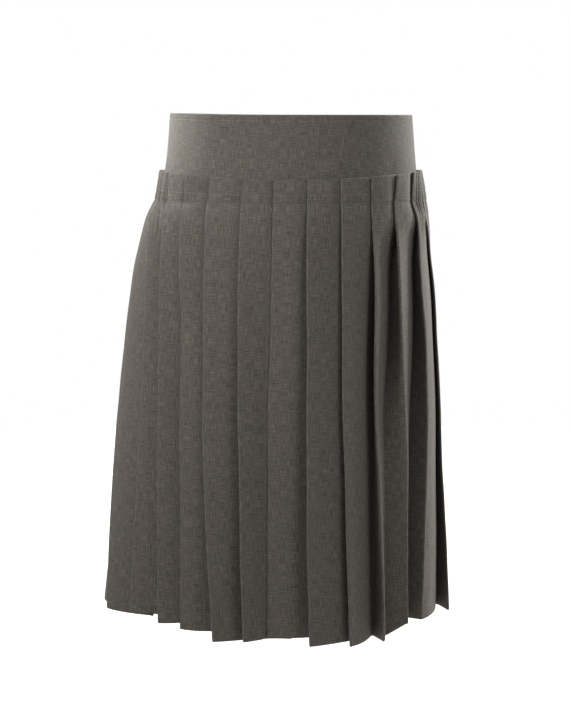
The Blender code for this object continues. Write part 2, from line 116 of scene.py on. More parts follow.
# Waves of the cloth: radians for each step across and down, start in radians, and weight
Wave = namedtuple("Wave", "across down start weight")
WANDER_WAVES = [Wave(1, 1.3, 0, 1), Wave(1.7, 3.1, 0, 0.5)]
SWAY_WAVES = [Wave(3, 5.2, 0, 0.6), Wave(5, -7.5, 1.1, 0.4)]
RIPPLE_WAVES = [Wave(61, 48, 0, 1 / 3), Wave(37, -91, 2, 1 / 3), Wave(23, 130, 4, 1 / 3)]
GATHER_WAVES = [Wave(0, 90, 0, 0.5), Wave(0, 210, 0, 0.3)]
STRAIN_WAVES = [Wave(9, 60, 0, 1), Wave(17, -45, 0, 1)]

# Columns of points along each stretch of the folded line
CREASE_COLUMNS = 2
ENTRY_COLUMNS = 3
FACE_COLUMNS = 5
GATHER_COLUMNS = 14

# Place on a pleat's face, from its own fold to the next one. What is past 1 is under that fold
AT_FOLD, AT_CREASE, AT_MIDDLE, AT_SHOULDER, AT_ENTRY = 0.0, 0.06, 0.5, 0.85, 1.0
AT_UNDERLAY, HIDDEN = 1.2, 1.4

# Thread
STITCH = 2.1 * MM
STITCH_PITCH = 2.75 * MM
STITCH_END_ROOM = 0.6  # of a stitch, kept free at the ends of a row
THREAD = 0.3 * MM  # radius
THREAD_SIDES = 6
HEM_MARK = 0.9 * MM
HEM_MARK_PITCH = 8.5 * MM
HEM_THREAD = 0.2 * MM

# Zip
TAPE_HALF = 0.4 * MM  # half the thickness of the woven tape
COIL_TOP = -16.0 * MM
COIL_END = ZIP_END + 2.0 * MM
COIL_TURNS = 120
COIL_WIDTH = 2.2 * MM
COIL_DEPTH = 0.6 * MM
COIL_STANDS_OFF = 1.0 * MM
COIL_THREAD = 0.3 * MM
METAL_EDGE = 0.22 * MM  # rounding of the slider's and the pull's edges

# Weave. The yarns are 0.4 mm apart, too fine to show from here, so the shaded ones are coarser
YARN = MM / 1.4
YARN_RUN = MM / 0.09  # how far a yarn keeps its shade
FIBRE_GRAIN = MM / 1.5
FINE_YARN = MM / 2.4  # for the bump alone, at the real spacing
FINE_RUN = MM / 0.5
FLECK_WIDTH = MM / 0.9
FLECK_HEIGHT = MM / 0.5
TAPE_RIBS = 260.0  # scale at which the wave's ribs are 1.2 mm apart
TWIST = 0.25 * MM
RUB = MM / 0.7
PAPER_GRAIN = MM / 0.06

# Stage
FLOOR = -0.95
FLOOR_SIDE = 3.0
FLOOR_FRONT = -0.7
FLOOR_BACK = 3.8
ROOM_LIGHT = 0.34  # the room in front, as a share of the backdrop behind
ROOM_EDGE = 0.05  # sine of the angle behind the skirt at which the backdrop starts
BACKDROP_EDGE = 0.75  # and from which it is full white
CAMERA_PLACE = (-0.007, -2.1, 0.005)
CAMERA_TILT = 82.7
CAMERA_LENS = 97.74
CAMERA_SENSOR = 36.0
Lamp = namedtuple("Lamp", "name place target size power spread")
LAMPS = [
    Lamp("left side", (-1.2, -0.8, 0.5), (0.0, 0.0, -0.05), 0.6, 3.2, 60.0),
    Lamp("right side", (1.0, -1.05, 0.45), (0.0, 0.0, -0.2), 0.7, 2.2, 90.0),
    Lamp("left rim", (-0.85, 0.45, 0.4), (-0.1, 0.0, 0.1), 0.3, 0.9, 22.0),
    Lamp("right rim", (1.1, 0.65, 0.35), (0.0, 0.0, -0.1), 0.6, 7.5, 90.0),
    Lamp("backdrop", (0.0, 2.6, 2.4), (0.0, 2.4, FLOOR), 3.0, 90.0, 120.0),
]

Section = namedtuple("Section", "z left right front back")
YOKE = [
    Section(0, 129, 128, 98, 98),
    Section(-27, 131, 130, 100, 100),
    Section(-55, 134, 132.5, 102, 103),
    Section(-81, 139, 135.2, 105, 106),
    Section(-100, 141, 137, 106.5, 108),
]
SKIRT = [
    Section(-65, 136.8, 134.2, 105, 106.5),
    Section(-81, 139.4, 136, 106.4, 107.5),
    Section(-90, 141.8, 136.9, 107.2, 108.6),
    Section(-107, 150, 139, 110, 112),
    Section(-150, 161.5, 140.5, 114, 117),
    Section(-193, 167, 143.5, 117, 120),
    Section(-235, 171, 147, 119.5, 122),
    Section(-278, 175, 151, 121.5, 124),
    Section(-364, 182.5, 154, 125, 127),
    Section(-449, 189, 158, 127, 129),
    Section(-545, 195.7, 163.5, 128.2, 130.4),
]
# Folds as in the part. open is how far a fold's top edge moves to the wearer's left, and bow how
# far its middle does
Fold = namedtuple("Fold", "seam_x hem_x lift drop open tucks bow")
FRONT_FOLDS = [
    Fold(-140.5, -163, 8, -14, 0, 3, 0),
    Fold(-127.4, -133, 10, -8, 0, 0, -2),
    Fold(-109, -115.5, 10, -2, 0, 0, -1.5),
    Fold(-85.4, -77, 16, 4, 0, 0, -4.5),
    Fold(-51, -47.5, 15, 3, 0, 0, -3),
    Fold(-19, -25.5, 4, 2, 0, 0, -1),
    Fold(15.4, 16, 20, 7, 0, 0, -2.3),
    Fold(49.3, 55, 20, 10, 0, 0, -2.7),
    Fold(80.5, 90, 8, 10, 1, 0, 0),
    Fold(104, 118, 4, -3, 6, 0, 0),
    Fold(123, 134.5, 4, -3, 9, 3, 0),
    Fold(134.5, 159.5, 5, -1, 1, 3, 0),
]
BackFold = namedtuple("BackFold", "shift lift drop tucks")
BACK_FOLDS = [
    BackFold(0, 10, 0, 2),
    BackFold(3, 12, 1, 0),
    BackFold(-2, 14, 1, 0),
    BackFold(-4, 11, 1, 0),
    BackFold(2, 16, 3, 0),
    BackFold(4, 12, 4, 0),
    BackFold(0, 13, 4, 0),
    BackFold(-3, 16, 5, 0),
    BackFold(2, 12, 2, 0),
    BackFold(4, 15, 0, 0),
    BackFold(-2, 10, -4, 0),
    BackFold(0, 9, -7, 3),
]
# The last four front folds hang open: swing of their return layers in degrees, and how far each
# edge moves to the wearer's left, at some heights
Opening = namedtuple("Opening", "z swing_9 swing_10 swing_11 swing_12 move_9 move_10 move_11 move_12")
OPENINGS = [
    Opening(-60, 4, 4, 4, 4, 0, 0, -2, 0),
    Opening(-90, 4, 4, 4, 4, 0, 0, 0.5, 2),
    Opening(-107, 10, 15, 12, 5, 0, 0, 4.5, 3.5),
    Opening(-125, 20, 38, 28, 8, 0, 0, 5, 5),
    Opening(-148, 35, 61, 41, 12, 0, 0, 5, 5.8),
    Opening(-190, 50, 73, 50, 16, -1.2, 0, 6.5, 7.6),
    Opening(-235, 58, 89, 64, 20, -2.8, 0.5, 8.8, 7),
    Opening(-311, 62, 130, 87, 22, -2.3, 2, 8.5, 6.4),
    Opening(-365, 70, 146, 95, 25, -0.5, 3.4, 6.5, 5.2),
    Opening(-441, 80, 148, 100, 31, 0.8, 2.5, 2.8, 4.8),
    Opening(-545, 89, 144, 105, 44, 0.5, 0, -1.5, 3.2),
]
FIRST_OPEN = 8  # place in the fold table of the first fold that hangs open
ARC_STEPS = 720  # steps in which the girth is measured


# The folded line

def table_values(table, name, z):
    """A table's column at any heights, on a smooth curve through its rows.

    Between two rows it is the cubic with the rows' own slopes, each slope being the mean of the
    two straight slopes beside that row.
    """
    heights = np.array([row.z * MM for row in reversed(table)])
    values = np.array([getattr(row, name) * MM for row in reversed(table)])
    straight = np.diff(values) / np.diff(heights)
    slopes = np.concatenate([straight[:1], (straight[1:] + straight[:-1]) / 2, straight[-1:]])
    z = np.clip(z, heights[0], heights[-1])
    i = np.clip(np.searchsorted(heights, z) - 1, 0, len(heights) - 2)
    gap = heights[i + 1] - heights[i]
    t = (z - heights[i]) / gap
    return ((1 + 2 * t) * (1 - t) ** 2 * values[i] + t * (1 - t) ** 2 * gap * slopes[i]
            + t * t * (3 - 2 * t) * values[i + 1] + t * t * (t - 1) * gap * slopes[i + 1])


def section(table, z):
    """Centre across, half width, front depth and back depth of a section."""
    left, right, front, back = (table_values(table, name, z)
                                for name in ("left", "right", "front", "back"))
    return (right - left) / 2, (right + left) / 2, front, back


def ring_point(table, z, angle, offset):
    """Points at an angle round the section, moved outwards along its normal."""
    centre, width, front, back = section(table, z)
    depth = np.where(np.cos(angle) > 0, front, back)
    normal_x, normal_y = np.sin(angle) / width, -np.cos(angle) / depth
    length = np.hypot(normal_x, normal_y)
    return (centre + width * np.sin(angle) + offset * normal_x / length,
            -depth * np.cos(angle) + offset * normal_y / length)


def girth_rate(table, z, angle):
    """Metres round the section for each radian at an angle."""
    _, width, front, back = section(table, z)
    depth = np.where(np.cos(angle) > 0, front, back)
    return np.hypot(width * np.cos(angle), depth * np.sin(angle))


def even_angles(z, start, end, count):
    """Angles that share the girth between two angles evenly, without the two ends."""
    angles = np.linspace(start, end, ARC_STEPS + 1)
    rates = girth_rate(SKIRT, z, (angles[1:] + angles[:-1]) / 2)
    girth = np.concatenate(([0.0], np.cumsum(rates * np.diff(angles))))
    return np.interp(np.arange(1, count + 1) / (count + 1) * girth[-1], girth, angles)


def fold_table():
    """All folds in order round the skirt, as columns of angles in radians and sizes in metres."""
    folds = {}
    for name, z, column in (("seam", LOWER_ROW, "seam_x"), ("hem", HEM, "hem_x")):
        centre, width, _, _ = section(SKIRT, z)
        across = np.array([getattr(row, column) * MM for row in FRONT_FOLDS])
        front = np.arcsin((across - centre) / width)
        back = even_angles(z, front[-1], front[0] + 2 * np.pi, len(BACK_FOLDS))
        if name == "hem":
            back += np.array([row.shift * MM for row in BACK_FOLDS]) / girth_rate(SKIRT, z, back)
        folds[name] = np.concatenate([front, back])
    for name in ("lift", "drop"):
        folds[name] = np.array([getattr(row, name) for row in FRONT_FOLDS + BACK_FOLDS]) * MM
    folds["tucks"] = np.array([row.tucks for row in FRONT_FOLDS + BACK_FOLDS])
    folds["open"] = np.concatenate([[row.open * MM for row in FRONT_FOLDS],
                                    np.zeros(len(BACK_FOLDS))])
    return folds


FOLDS = fold_table()
COUNT = len(FRONT_FOLDS) + len(BACK_FOLDS)


def fold_value(name, index):
    """A fold's value, counting on past the last fold to the first one, a turn further round."""
    turns, index = divmod(index, COUNT)
    return FOLDS[name][index] + (2 * np.pi * turns if name in ("seam", "hem") else 0.0)


class Levels:
    """All levels of the cloth from its top to its hem, as arrays."""

    def __init__(self, heading, share):
        self.heading = np.concatenate([heading, np.zeros(len(share))])
        self.share = np.concatenate([np.zeros(len(heading)), share])
        self.z = (LOWER_ROW + (HEADING_TOP - LOWER_ROW) * self.heading
                  + (HEM - LOWER_ROW) * self.share)

    def height(self, angle, drop):
        """Heights of points on each level, by the heading's rise and the hem's drop there."""
        heading, share = self.heading[:, None], self.share[:, None]
        top = HEADING_TOP + HEADING_SIDE_RISE * np.sin(angle) ** 2
        return LOWER_ROW + (top - LOWER_ROW) * heading + (HEM - drop - LOWER_ROW) * share


def make_levels():
    """Levels crowded together in the heading, under the stitching and at the hem."""
    upper_row = (UPPER_ROW - LOWER_ROW) / (HEADING_TOP - LOWER_ROW)
    top_edge = [1.0, 0.985, 0.95]
    above_rows = np.linspace(0.88, upper_row, 6)[:-1]
    between_rows = np.linspace(upper_row, 0.0, 7)[:-1]
    under_rows = np.linspace(0, 0.03, 7)[:-1]
    gathers = np.linspace(0.03, 0.16, 13)[:-1]
    long_stretch = np.linspace(0.16, HEM_TURN_SHARE - 0.006, 46)
    hem_step = [HEM_TURN_SHARE - 0.002, HEM_TURN_SHARE + 0.002]
    turned_hem = np.linspace(HEM_TURN_SHARE + 0.008, 0.992, 7)
    hem_edge = [0.9965, 1.0]
    return Levels(np.concatenate([top_edge, above_rows, between_rows]),
                  np.concatenate([under_rows, gathers, long_stretch, hem_step, turned_hem, hem_edge]))


LEVELS = make_levels()


def waves(table, across, down):
    """Sum of sine waves, each its weight times the sine of its turns across and down."""
    return sum(wave.weight * np.sin(wave.across * across + wave.down * down + wave.start)
               for wave in table)


def hangs_open(index):
    """Whether a fold is one of those in the opening table."""
    return FIRST_OPEN <= index % COUNT < len(FRONT_FOLDS)


def opening(index, name, levels):
    """A column of the opening table at each level, or nothing for a fold that hangs shut."""
    if not hangs_open(index):
        return 0 * levels.z
    return table_values(OPENINGS, f"{name}_{index % COUNT + 1}", levels.z)


def straight_angle(index, levels):
    """Angle of a fold that hangs straight in its angle from stitching to hem."""
    seam, hem = fold_value("seam", index), fold_value("hem", index)
    return seam + (hem - seam) * levels.share


def fold_angle(index, levels):
    """Angle of a fold from stitching to hem, with its move across and a little wandering.

    A front fold is straight as seen from the front, and a back fold straight in its angle.
    """
    turns, number = divmod(index, COUNT)
    share, phase = levels.share, number * GOLDEN
    angle = straight_angle(index, levels)
    if number < len(FRONT_FOLDS):
        fold = FRONT_FOLDS[number]
        centre, width, _, _ = section(SKIRT, levels.z)
        across = fold.seam_x + (fold.hem_x - fold.seam_x) * share + fold.bow * np.sin(np.pi * share)
        straight = np.arcsin(np.clip((across * MM - centre) / width, -1, 1)) + 2 * np.pi * turns
        angle = np.where(levels.heading > 0, fold_value("seam", index), straight)
    rate = girth_rate(SKIRT, levels.z, angle)
    _, width, _, _ = section(SKIRT, levels.z)
    stray = opening(index, "move", levels) * width * np.abs(np.cos(angle)) / rate
    stray = stray + fold_value("open", index) * levels.heading
    fade = np.sqrt(np.sin(np.pi * np.clip(share, 0, 1)))
    stray = stray + WANDER * fade * waves(WANDER_WAVES, 2 * np.pi * phase, 2 * np.pi * share)
    return angle + stray / rate


def face_width(index, levels, angle_of=fold_angle):
    """Girth between a fold and the next one. angle_of is the function that gives their angles."""
    angle, following = angle_of(index, levels), angle_of(index + 1, levels)
    return (following - angle) * girth_rate(SKIRT, levels.z, (angle + following) / 2)


def return_layer(index, levels):
    """Cloth depth of a fold's return layer and its swing from flat, pressed and at each level."""
    ends = Levels([], np.array([0.0, 1.0]))
    before, own = (face_width(i, ends, straight_angle) for i in (index - 1, index))
    depth = min(UNDERLAY, own[0] - FACE_SLOPE)
    pressed = np.arcsin(LAYER_STEP / depth)
    if hangs_open(index):
        swing = np.maximum(np.radians(opening(index, "swing", levels) / MM), pressed)
        return depth + (UNDERLAY - depth) * levels.share, pressed, swing
    flat = depth * np.cos(pressed)
    hem_run = min(depth - (before[1] - before[0]), own[1] - FACE_SLOPE, flat)
    run = flat + (max(hem_run, 0.0) - flat) * levels.share
    run = np.minimum(run, face_width(index, levels) - FACE_SLOPE)
    return depth, pressed, np.arccos(run / depth)


def fold_state(index, levels):
    """Where a fold stands at each level: angle, drop, outer and inner apex, and how open it is."""
    angle = fold_angle(index, levels)
    depth, pressed, swing = return_layer(index, levels)
    hem_depth, _, hem_swing = return_layer(index, Levels([], np.array([1.0])))
    hem_rise = max(float(np.max(hem_depth * np.sin(hem_swing))), LAYER_STEP + MM)
    rise = depth * np.sin(swing) - LAYER_STEP
    stands = min(fold_value("lift", index) / (hem_rise - LAYER_STEP), 1.0)
    outer = 1.5 * LAYER_STEP + rise * stands + OPEN_LIFT * fold_value("open", index) * levels.heading
    moved = opening(index, "move", levels) * np.abs(np.sin(angle))
    sink = np.minimum(rise * (1 - stands), SINK_RATE * np.maximum(SINK_START - levels.z, 0.0))
    outer, inner = outer + moved, LAYER_STEP / 2 - sink + moved
    run = np.sqrt(np.maximum(depth ** 2 - (outer - inner) ** 2, 0.0))
    return {
        "angle": angle,
        "rate": girth_rate(SKIRT, levels.z, angle),
        "run": np.where(swing < np.pi / 2, run, -run),
        "outer": outer,
        "inner": inner,
        "base": moved,
        "openness": np.clip((swing - pressed) / OPEN_SWING, 0.0, 1.0),
        "drop": fold_value("drop", index),
    }


def fold_corners(state):
    """The four corners where the cloth turns, as girth from the fold and offset outwards."""
    run, rise = state["run"], state["inner"] - state["outer"]
    length = np.hypot(run, rise)
    across = np.array([-rise, run]) / length * LAYER_STEP / 2
    outer, inner = np.array([0 * run, state["outer"]]), np.array([run, state["inner"]])
    return {
        "face_start": outer + across,
        "return_end": outer - across,
        "return_start": inner + across,
        "foot": inner - across,
    }


def face_line(state, corners, pitch, following, following_corners):
    """Shoulder over the pleat's own underlay and entry under the next fold."""
    start = corners["face_start"]
    foot = following_corners["foot"] + np.array([pitch, 0 * pitch])
    covered = following["run"] > 0
    hanging = start[1] + (foot[1] - start[1]) * (pitch - start[0]) / (foot[0] - start[0])
    lowest = following_corners["return_end"][1] - LAYER_STEP
    base = following["base"]
    tucked = np.minimum(base + (hanging - base) * following["openness"], lowest)
    entry = np.where(covered, [pitch, tucked], foot)
    shoulder_x = np.maximum(state["run"] + LAYER_STEP / 2, SHOULDER_LEAST * foot[0])
    straight = start[1] + (entry[1] - start[1]) * (shoulder_x - start[0]) / (entry[0] - start[0])
    under = state["base"] + (base - state["base"]) * shoulder_x / pitch + 2 * LAYER_STEP
    shoulder_y = under + (straight - under) * state["openness"]
    over_return = np.maximum(shoulder_y, corners["return_start"][1] + LAYER_STEP)
    shoulder_y = np.where(state["run"] > 0, over_return, shoulder_y)
    steep = np.arctan2(shoulder_y - entry[1], np.maximum(entry[0] - shoulder_x, MM))
    steep = np.maximum(steep, 0.0)
    clear = LAYER_STEP * np.tan(steep / 2)
    shoulder = np.array([shoulder_x + np.maximum(clear - LAYER_STEP / 2, 0.0), shoulder_y])
    entry = np.where(covered, entry - np.array([clear + ENTRY_ROOM, 0 * clear]),
                     (shoulder + foot) / 2)
    return shoulder, entry


def towards(start, end, distance):
    """Point at a distance from start on the way to end."""
    return start + (end - start) * (distance / np.hypot(*(end - start)))


# Control points

class Line:
    """Control points of the folded line of one panel, each with what it says along the cloth."""

    def __init__(self, levels):
        self.levels = levels
        self.angle, self.offset, self.drop = [], [], []
        self.marks = []  # pleat, place on its face, weight of the tucks, how many, cols

    def add(self, state, point, drop, pleat, place, tucked=0.0, tucks=0, columns=CREASE_COLUMNS):
        self.angle.append(state["angle"] + point[0] / state["rate"])
        self.offset.append(point[1] + 0 * point[0])
        self.drop.append(drop)
        self.marks.append((pleat, place, tucked, tucks, columns))


def add_pleat(line, index):
    """One pleat from its outer fold to the end of the return at the next outer fold.

    Points a crease's width from each fold keep it sharp, and the face between them billows.
    """
    levels = line.levels
    state, following = fold_state(index, levels), fold_state(index + 1, levels)
    corners, following_corners = fold_corners(state), fold_corners(following)
    pitch = face_width(index, levels)
    shoulder, entry = face_line(state, corners, pitch, following, following_corners)
    start, phase = corners["face_start"], (index % COUNT) * GOLDEN
    comes_and_goes = np.sin(2 * np.pi * (BILLOW_TURNS * levels.share + phase))
    wave = 1 - BILLOW_UNEVEN + BILLOW_UNEVEN * comes_and_goes
    billow = np.array([0 * wave, BILLOW * np.sqrt(levels.share) * wave])
    puff = np.array([0 * wave, HEADING_PUFF * np.sin(np.pi * levels.heading ** PUFF_SKEW)])
    drop, tucks = state["drop"], int(fold_value("tucks", index))
    fine = GATHER_COLUMNS if tucks else FACE_COLUMNS
    middle = (start + shoulder) / 2 + billow + puff
    line.add(state, start, drop, index, AT_FOLD)
    line.add(state, towards(start, middle, CREASE), drop, index, AT_CREASE, 0.0, tucks, fine)
    line.add(state, middle, drop, index, AT_MIDDLE, 1.0, tucks, fine)
    line.add(state, shoulder + SHOULDER_BILLOW * billow + SHOULDER_PUFF * puff, drop, index,
             AT_SHOULDER, SHOULDER_TUCKED, tucks, fine)
    entry = entry - np.array([pitch, 0 * pitch])
    foot, back_start, back_end = (following_corners[name]
                                  for name in ("foot", "return_start", "return_end"))
    line.add(following, entry, drop, index, AT_ENTRY, columns=ENTRY_COLUMNS)
    line.add(following, (entry + foot) / 2, drop, index, AT_UNDERLAY)
    next_drop = following["drop"]
    for point, own_drop in (
            (towards(foot, entry, CREASE), drop),
            (foot, drop),
            (back_start, drop),
            (towards(back_start, back_end, CREASE), drop),
            ((back_start + back_end) / 2, (drop + next_drop) / 2),
            (towards(back_end, back_start, CREASE), next_drop),
            (back_end, next_drop)):
        line.add(following, point, own_drop, index, HIDDEN)


def add_seam(line, index, side, pleat):
    """Middle of the return layer before a fold, half a seam gap to one side of it."""
    state = fold_state(index, line.levels)
    corners = fold_corners(state)
    start, end = corners["return_start"], corners["return_end"]
    along = (end - start) / np.hypot(*(end - start))
    middle = (start + end) / 2 + side * (SEAM_GAP / 2) * along
    drop = (fold_value("drop", index) + fold_value("drop", index - 1)) / 2
    for _ in range(2):
        line.add(state, middle, drop, pleat, HIDDEN)
    return state, corners


def drop_last(line, count):
    """Takes the last control points off a line."""
    for values in (line.angle, line.offset, line.drop, line.marks):
        del values[-count:]


def curve_weights(marks):
    """Weights of the control points for each column of a curve with quadratic smoothing.

    The curve runs from the middle of one control leg to the middle of the next, bent towards the
    control point between them. Each row of the result adds up to one.
    """
    rows = []
    for span in range(len(marks) - 2):
        columns = marks[span + 1][4]
        for t in np.arange(columns) / columns:
            row = np.zeros(len(marks))
            row[span:span + 3] = 0.5 * (1 - t) ** 2, 0.5 + t * (1 - t), 0.5 * t * t
            rows.append(row)
    last = np.zeros(len(marks))
    last[-2:] = 0.5
    rows.append(last)
    return np.array(rows)


def panel_surface(first, last):
    """Middle surface of a panel and what is known of its columns.

    Returns points by level and column, and the columns' pleat, place on the face and girth.
    """
    line = Line(LEVELS)
    state, corners = add_seam(line, first, 1.0, first - 1)
    line.add(state, towards(corners["return_end"], corners["return_start"], CREASE),
             state["drop"], first - 1, HIDDEN)
    line.add(state, corners["return_end"], state["drop"], first - 1, HIDDEN)
    for index in range(first, last + 1):
        add_pleat(line, index)
    drop_last(line, 3)
    add_seam(line, last + 1, -1.0, last)
    weights = curve_weights(line.marks)
    angle = np.array(line.angle).T @ weights.T
    offset = np.array(line.offset).T @ weights.T
    drop = np.array(line.drop) @ weights.T
    marks = weights @ np.array([mark[:4] for mark in line.marks])
    pleat, place, tucked, tucks = marks.T
    z = LEVELS.height(angle, drop[None, :])
    offset = offset + relief(angle, z, pleat, place, tucked, tucks)
    section_z = np.where(LEVELS.heading[:, None] > 0, LEVELS.z[:, None] + 0 * z, z)
    x, y = ring_point(SKIRT, section_z, angle, offset)
    return np.stack([x, y, z], axis=2), pleat, place


def furrow(z, row, width=FURROW_WIDTH):
    """A soft groove along a height: the bell curve of the distance from it."""
    return np.exp(-((z - row) / width) ** 2)


def relief(angle, z, pleat, place, tucked, tucks):
    """Small moves in and out: gathers, stitch furrows, sway of the whole skirt and fine ripples."""
    share = np.clip((LOWER_ROW - z) / (LOWER_ROW - HEM), 0, 1)
    heading = np.clip((z - LOWER_ROW) / (HEADING_TOP - LOWER_ROW), 0, 1)
    below = np.clip((z - GATHER_END) / (LOWER_ROW - GATHER_END), 0, 1)
    height = GATHER_HEIGHT * np.where(z > LOWER_ROW, 1 - GATHER_FADE * heading,
                                      below ** GATHER_SKEW)
    turns = np.pi * GATHER_RIDGES * tucks * np.clip(place, 0, 1)
    bumps = np.sin(turns + waves(GATHER_WAVES, 0, z)) ** 2
    moved = height * np.clip(tucked, 0, 1) * np.minimum(tucks, 1) * bumps
    moved = moved - FURROW * (furrow(z, UPPER_ROW) + furrow(z, LOWER_ROW))
    moved = moved + SWAY * share * waves(SWAY_WAVES, angle, share)
    visible = np.clip(RIPPLE_END - place, 0, 1)
    grown = np.clip(share * RIPPLE_GROWTH, RIPPLE_START, 1)
    return moved + RIPPLE * visible * grown * waves(RIPPLE_WAVES, angle, z)


# Meshes

def add_object(name, vertices, faces, material, uv=None, smooth=None):
    """Mesh object at the origin, with its material, UVs in metres and smooth faces."""
    mesh = bpy.data.meshes.new(name)
    faces = faces.tolist() if isinstance(faces, np.ndarray) else faces
    mesh.from_pydata(np.asarray(vertices).tolist(), [], faces)
    mesh.update()
    if uv is not None:
        corners = np.empty(len(mesh.loops), int)
        mesh.loops.foreach_get("vertex_index", corners)
        layer = mesh.uv_layers.new(name="cloth")
        layer.data.foreach_set("uv", np.asarray(uv)[corners].ravel())
    flags = np.ones(len(mesh.polygons), bool) if smooth is None else smooth
    mesh.polygons.foreach_set("use_smooth", flags)
    mesh.materials.append(material)
    made = bpy.data.objects.new(name, mesh)
    bpy.context.scene.collection.objects.link(made)
    return made


def grid_faces(rows, columns, shift=0, flip=False):
    """Quads of a grid of points, row by row."""
    a = (np.arange(rows - 1)[:, None] * columns + np.arange(columns - 1)[None, :]).ravel() + shift
    quads = np.column_stack([a, a + columns, a + columns + 1, a + 1])
    return quads[:, ::-1] if flip else quads


def border_faces(rows, columns, shift):
    """Quads that close a wall round the four edges of its two grids."""
    ring = np.concatenate([np.arange(columns - 1), np.arange(rows - 1) * columns + columns - 1,
                           (rows - 1) * columns + np.arange(columns - 1, 0, -1),
                           np.arange(rows - 1, 0, -1) * columns])
    following = np.roll(ring, -1)
    return np.column_stack([ring, following, following + shift, ring + shift])


def ring_faces(rings, sides):
    """Quads of a tube made of rings of points, ring by ring."""
    ring, place = np.divmod(np.arange((rings - 1) * sides), sides)
    a = ring * sides + place
    b = ring * sides + (place + 1) % sides
    return np.column_stack([a, b, b + sides, a + sides])


def path_lengths(points):
    """Distance of each point of a path from its start, along the path."""
    steps = np.linalg.norm(np.diff(points, axis=0), axis=1)
    return np.concatenate([[0.0], np.cumsum(steps)])


def surface_normals(points):
    """Unit normals of a grid of points, across its rows and columns."""
    down, along = np.gradient(points, axis=0), np.gradient(points, axis=1)
    normals = np.cross(down, along)
    return normals / np.linalg.norm(normals, axis=2, keepdims=True)


def add_wall(name, points, half, material, uv):
    """Closed wall round a middle surface. half is half its thickness, for each row."""
    rows, columns, _ = points.shape
    normals = surface_normals(points)
    half = np.broadcast_to(np.asarray(half, float).reshape(-1, 1, 1), (rows, 1, 1))
    vertices = np.concatenate([(points + normals * half).reshape(-1, 3),
                               (points - normals * half).reshape(-1, 3)])
    count = rows * columns
    outer, inner = grid_faces(rows, columns), grid_faces(rows, columns, count, True)
    border = border_faces(rows, columns, count)
    smooth = np.concatenate([np.ones(len(outer) + len(inner), bool), np.zeros(len(border), bool)])
    uvs = np.vstack([uv.reshape(-1, 2)] * 2)
    return add_object(name, vertices, np.vstack([outer, inner, border]), material, uvs, smooth)


def cloth_uv(points, reference):
    """UVs in metres: along the cloth as it measures on one level, and down its height."""
    along = path_lengths(points[reference])
    z = points[:, :, 2]
    return np.stack([along + 0 * z, z], axis=2), along[-1]


def pleat_half():
    """Half thickness of the pleated cloth at each level, thinned to a round at both edges."""
    half = np.full(len(LEVELS.z), CLOTH_HALF)
    half[LEVELS.heading > 0] = HEADING_HALF
    half[LEVELS.share > HEM_TURN_SHARE] = HEM_HALF
    half[:2] *= TOP_EDGE
    half[-2:] *= HEM_EDGE
    return half


def make_pleats(material):
    """The three pleated panels. Returns the visible faces' outer points for the stitch rows."""
    front = len(FRONT_FOLDS)
    middle = front + len(BACK_FOLDS) // 2
    panels = (
        ("pleats_front", "yoke_front", 0, front - 1),
        ("pleats_back_left", "yoke_back_left", front, middle - 1),
        ("pleats_back_right", "yoke_back_right", middle, COUNT - 1),
    )
    reference = int(np.argmin(np.abs(LEVELS.share - 0.5)))
    faces, half = [], pleat_half()
    for name, held_by, first, last in panels:
        points, pleat, place = panel_surface(first, last)
        uv, width = cloth_uv(points, reference)
        made = add_wall(name + "_cloth", points, half, material, uv)
        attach(made, "skirt")
        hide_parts(name)
        normals = surface_normals(points)
        outer = points + normals * half[:, None, None]
        for index in range(first, last + 1):
            shown = (np.round(pleat) == index) & (place > AT_CREASE / 2) & (place < AT_ENTRY)
            faces.append((outer[:, shown], normals[:, shown]))
    return faces


def yoke_profile():
    """Height and inset of the yoke's wall, up the outside, round the waist edge and down inside."""
    under_heading = np.linspace(-100, -84, 5)
    shown_stretch = np.linspace(-80, -10, 15)
    by_understitching = [-8, -7, -6, -5, -4, -2.5]
    heights = np.concatenate([under_heading, shown_stretch, by_understitching]) * MM
    turns = np.radians([0, 25, 50, 75, 105, 130, 155, 180])
    round_z = -YOKE_WALL / 2 + np.sin(turns) * YOKE_WALL / 2
    round_in = (1 - np.cos(turns)) * YOKE_WALL / 2
    z = np.concatenate([heights, round_z, heights[::-1][::2]])
    inset = np.concatenate([0 * heights, round_in, 0 * heights[::2] + YOKE_WALL])
    return z, inset


def yoke_points(z, inset, angle):
    """Points of the yoke, with the understitched furrow and soft strain folds near the heading."""
    outside = inset < YOKE_WALL / 2
    moved = -UNDERSTITCH_DEPTH * furrow(z, -UNDERSTITCH_DROP, UNDERSTITCH_WIDTH) * outside
    strain = np.clip((-z - STRAIN_TOP) / STRAIN_GROWTH, 0, 1)
    moved = moved + STRAIN * strain * waves(STRAIN_WAVES, angle, z)
    rise = WAIST_SIDE_RISE * np.maximum(0.0, -np.sin(angle)) ** 2
    shown_z = z + rise * np.clip(1 + z / WAIST_RISE_DEPTH, 0, 1)
    x, y = ring_point(YOKE, z, angle, moved - inset)
    return np.stack([x, y, shown_z], axis=2)


YOKE_PIECES = [  # name, and the quarters of a turn from the front at its two ends
    ("yoke_front", -1, 1),
    ("yoke_back_left", 1, 2),
    ("yoke_back_right", 2, 3),
]
QUARTER_STEPS = 48  # steps of the yoke's mesh in a quarter of its girth


